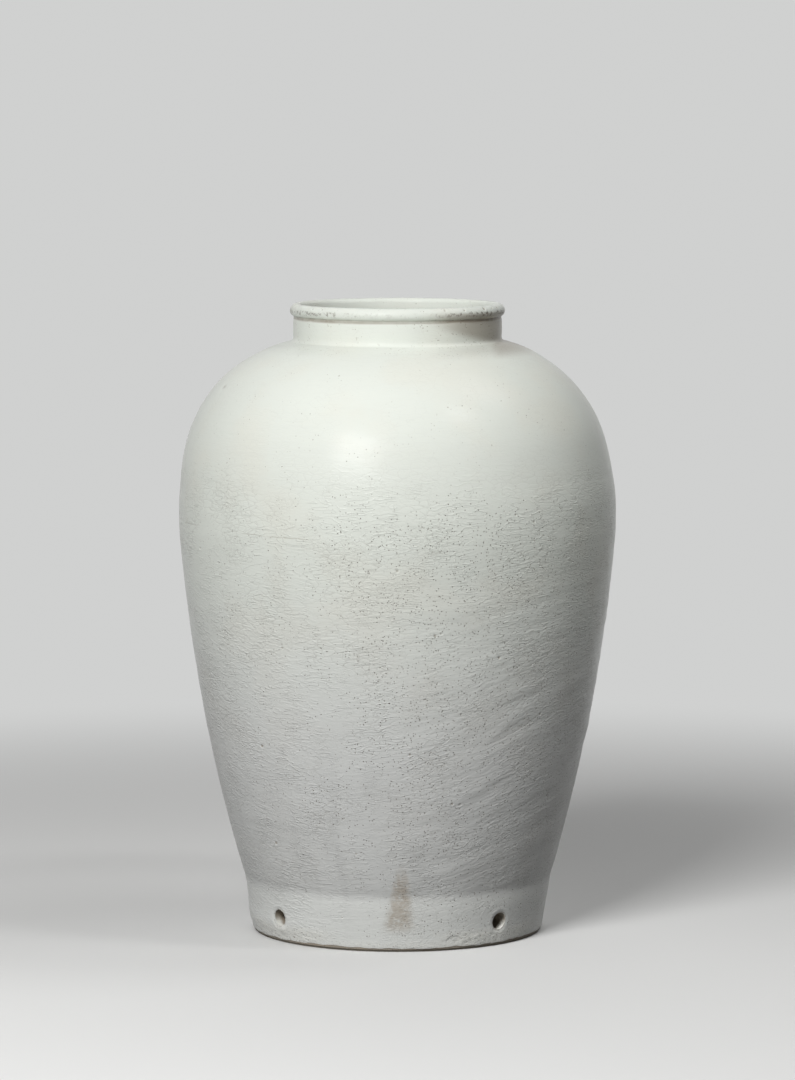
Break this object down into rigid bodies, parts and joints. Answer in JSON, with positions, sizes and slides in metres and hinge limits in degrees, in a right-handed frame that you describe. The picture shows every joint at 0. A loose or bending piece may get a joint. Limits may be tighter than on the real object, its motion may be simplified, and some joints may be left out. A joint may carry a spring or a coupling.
{
  "type": "meiping vase",
  "caption": "Broad-shouldered storage vase with a short wide neck, rolled lip and pierced foot ring, thrown in luted sections under a white crackled glaze",
  "frame": {"origin": "centre of the foot ring on the plane that it stands on", "axes": "+Z is the axis of the vase, up through the mouth. +X is to the right and +Y away from the viewer of the picture."},
  "size_m": [0.3054, 0.3054, 0.44],
  "materials": {
    "bare_clay": "unglazed high-fired clay, buff grey with iron specks and fine grit",
    "joint_slip": "finer fired slip, a little paler than the clay",
    "crackled_glaze": "satin white glaze with a fine crackle net, pinholes and faint grey mottling",
    "inner_glaze": "thinner poured glaze, slightly greyer, with crackle and throwing rings"
  },
  "bodies": {
    "root": {"foot_ring": "bare_clay", "floor_slab": "bare_clay", "lower_body": "bare_clay", "upper_body": "bare_clay", "neck_collar": "bare_clay", "floor_slip": "joint_slip", "foot_slip": "joint_slip", "belly_slip": "joint_slip", "neck_slip": "joint_slip", "outer_glaze": "crackled_glaze", "inner_glaze": "inner_glaze"}
  },
  "joints": []
}
